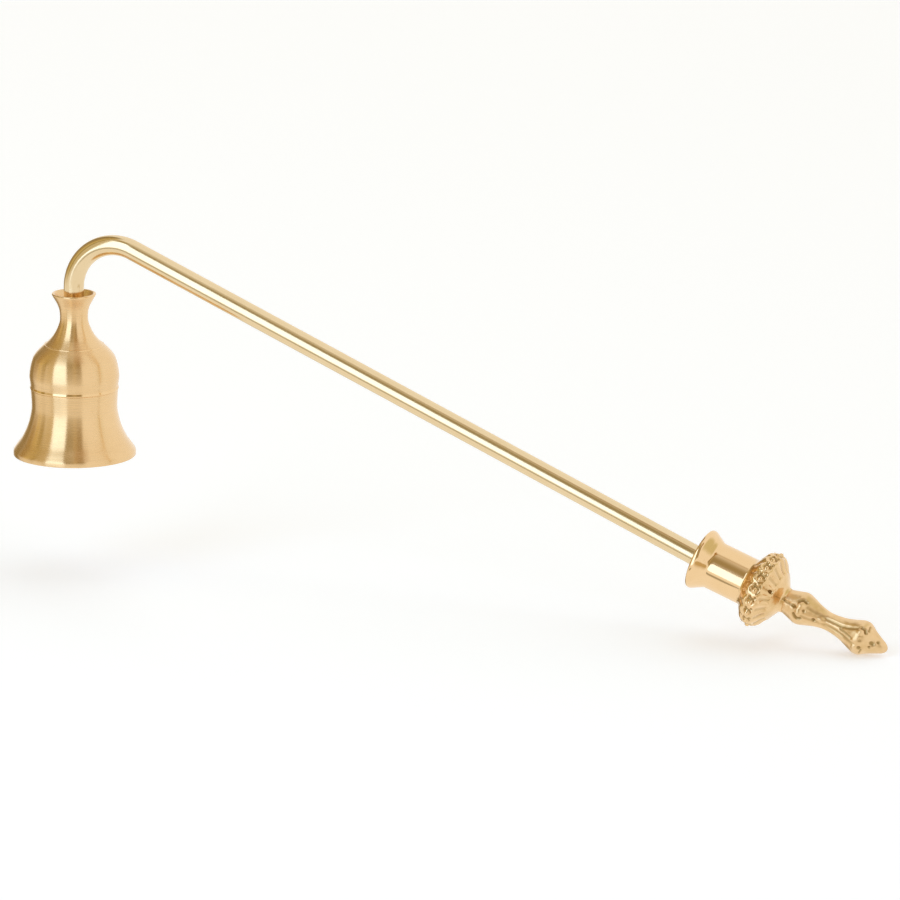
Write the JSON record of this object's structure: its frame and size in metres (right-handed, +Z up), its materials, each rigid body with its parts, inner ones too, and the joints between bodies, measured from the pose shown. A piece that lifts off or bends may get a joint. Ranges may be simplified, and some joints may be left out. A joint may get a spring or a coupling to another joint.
{
  "type": "candle snuffer",
  "caption": "Long-handled brass candle snuffer: a flared swivelling bell on the drop of a bent rod, with a cup sleeve, beaded collar and spindle tail as its grip.",
  "frame": {"origin": "centre of the bell's mouth, in the plane of its rim", "axes": "+Z up the bell's axis, out of its neck; +X from the bell towards the handle; the rod and handle lie in the XZ plane"},
  "size_m": [0.2725, 0.036, 0.1021],
  "materials": {
    "satin_brass": "lathe-turned satin, pale gold",
    "polished_brass": "polished, pale gold",
    "cast_brass": "cast and polished, pale gold",
    "plated_steel": "bright zinc plate"
  },
  "bodies": {
    "handle": {"rod": "polished_brass", "rod_washer": "plated_steel", "sleeve": "polished_brass", "collar": "cast_brass", "tail": "cast_brass", "bell_screw": "plated_steel", "bell_washer": "plated_steel"},
    "bell": {"bell_skirt": "satin_brass", "bell_dome": "satin_brass", "bell_neck": "satin_brass"}
  },
  "joints": [
    {"name": "bell_swivel", "type": "hinge", "parent": "handle", "child": "bell", "pos_m": [0, 0, 0.0358], "axis": [0, 0, 1], "continuous": true}
  ]
}
